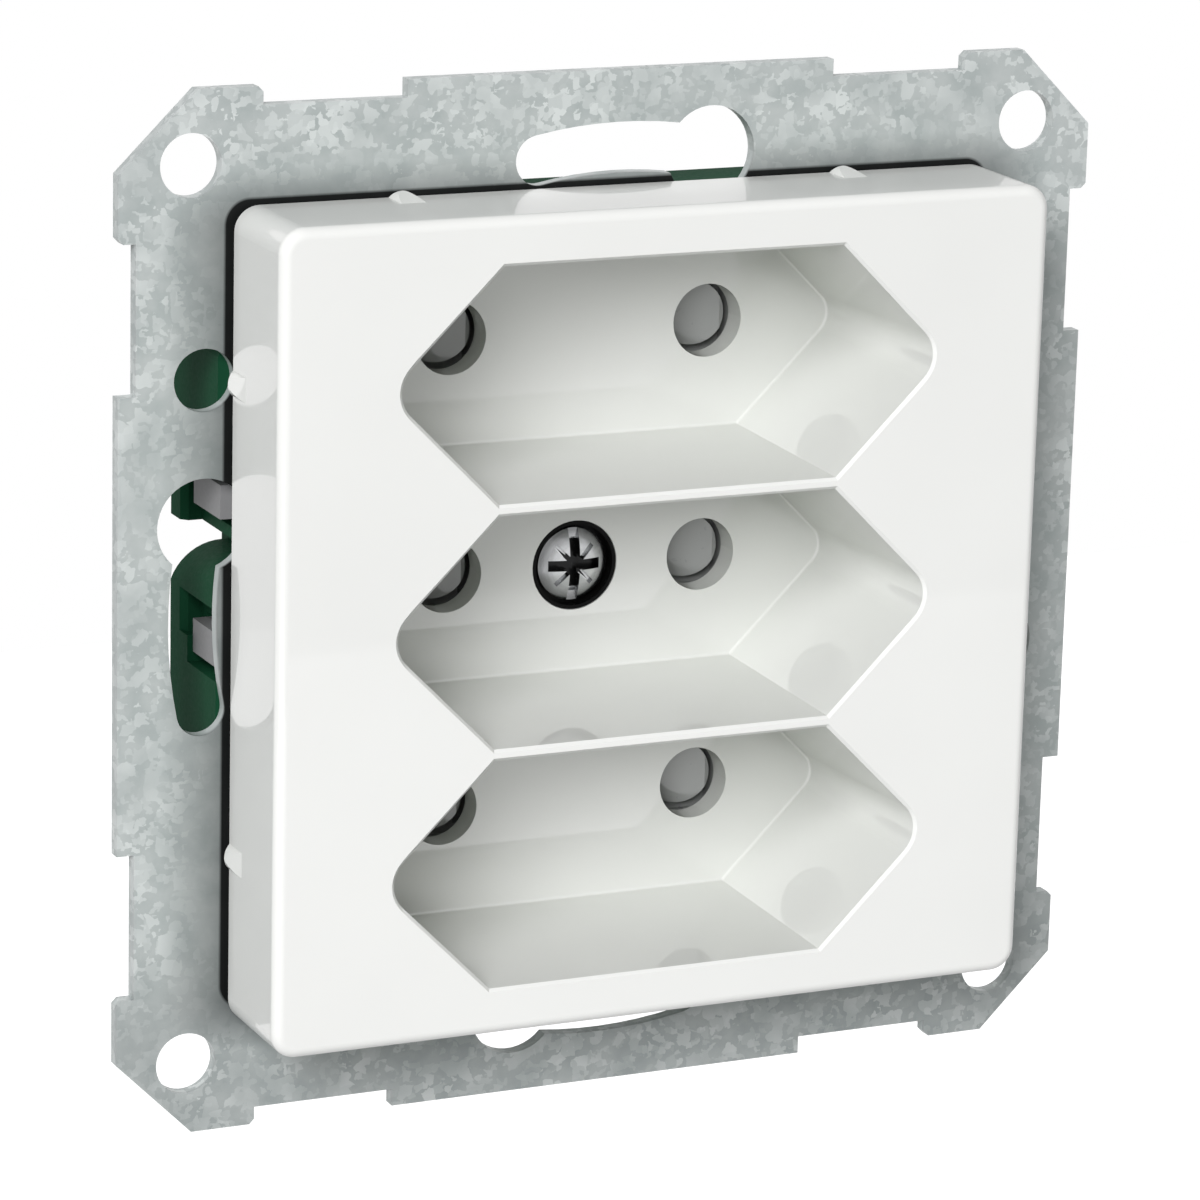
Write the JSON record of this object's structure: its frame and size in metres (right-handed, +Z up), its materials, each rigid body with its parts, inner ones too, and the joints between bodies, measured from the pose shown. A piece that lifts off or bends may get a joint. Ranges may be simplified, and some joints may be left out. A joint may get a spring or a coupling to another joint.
{
  "type": "flush wall power socket",
  "caption": "Flush wall power socket insert: a white cover with deep hexagonal wells for flat plugs on a square slotted mounting plate, with shutters and rear push-in terminals.",
  "frame": {"origin": "on the central axis of the middle plug place, at the back face of the mounting plate, where it lies on the wall", "axes": "+X to the right and +Z up as seen from the room, +Y into the wall; the plugs enter along +Y"},
  "size_m": [0.0704, 0.0367, 0.0704],
  "materials": {
    "plate_steel": "galvanised, matt",
    "rivet_steel": "satin",
    "cover_white": "glossy white moulding",
    "bush_black": "matt",
    "screw_steel": "satin",
    "carrier_grey": "matt moulding",
    "shutter_grey": "matt moulding",
    "spring_steel": "bright wire and strip",
    "base_green": "matt thermoset moulding",
    "rail_brass": "bare strip",
    "lever_grey": "matt moulding"
  },
  "bodies": {
    "socket": {"mounting_plate": "plate_steel", "plate_rivets": "rivet_steel", "cover": "cover_white", "screw_bush": "bush_black", "cover_screw": "screw_steel", "cover_nut": "screw_steel", "carrier": "carrier_grey", "carrier_screws": "screw_steel", "base_housing": "base_green", "shutter_spring_upper": "spring_steel", "shutter_spring_middle": "spring_steel", "shutter_spring_lower": "spring_steel", "line_contact_rail": "rail_brass", "line_terminal_spring": "spring_steel", "line_clip_upper": "spring_steel", "line_clip_middle": "spring_steel", "line_clip_lower": "spring_steel", "neutral_contact_rail": "rail_brass", "neutral_terminal_spring": "spring_steel", "neutral_clip_upper": "spring_steel", "neutral_clip_middle": "spring_steel", "neutral_clip_lower": "spring_steel"},
    "upper_shutter_slider": {"shutter_upper": "shutter_grey"},
    "middle_shutter_slider": {"shutter_middle": "shutter_grey"},
    "lower_shutter_slider": {"shutter_lower": "shutter_grey"},
    "line_release_slider": {"line_release_lever": "lever_grey"},
    "neutral_release_slider": {"neutral_release_lever": "lever_grey"}
  },
  "joints": [
    {"name": "upper_shutter_slide", "type": "slide", "parent": "socket", "child": "upper_shutter_slider", "axis": [1, 0, 0], "range_m": [0, 0.0046], "stiffness_N_per_m": 60, "springref_m": -0.002, "deforming": ["shutter_spring_upper"]},
    {"name": "middle_shutter_slide", "type": "slide", "parent": "socket", "child": "middle_shutter_slider", "axis": [1, 0, 0], "range_m": [0, 0.0046], "stiffness_N_per_m": 60, "springref_m": -0.002, "deforming": ["shutter_spring_middle"]},
    {"name": "lower_shutter_slide", "type": "slide", "parent": "socket", "child": "lower_shutter_slider", "axis": [1, 0, 0], "range_m": [0, 0.0046], "stiffness_N_per_m": 60, "springref_m": -0.002, "deforming": ["shutter_spring_lower"]},
    {"name": "line_release_press", "type": "slide", "parent": "socket", "child": "line_release_slider", "axis": [0, -1, 0], "range_m": [0, 0.0012], "stiffness_N_per_m": 400, "springref_m": -0.0005, "deforming": ["line_terminal_spring"]},
    {"name": "neutral_release_press", "type": "slide", "parent": "socket", "child": "neutral_release_slider", "axis": [0, -1, 0], "range_m": [0, 0.0012], "stiffness_N_per_m": 400, "springref_m": -0.0005, "deforming": ["neutral_terminal_spring"]}
  ]
}
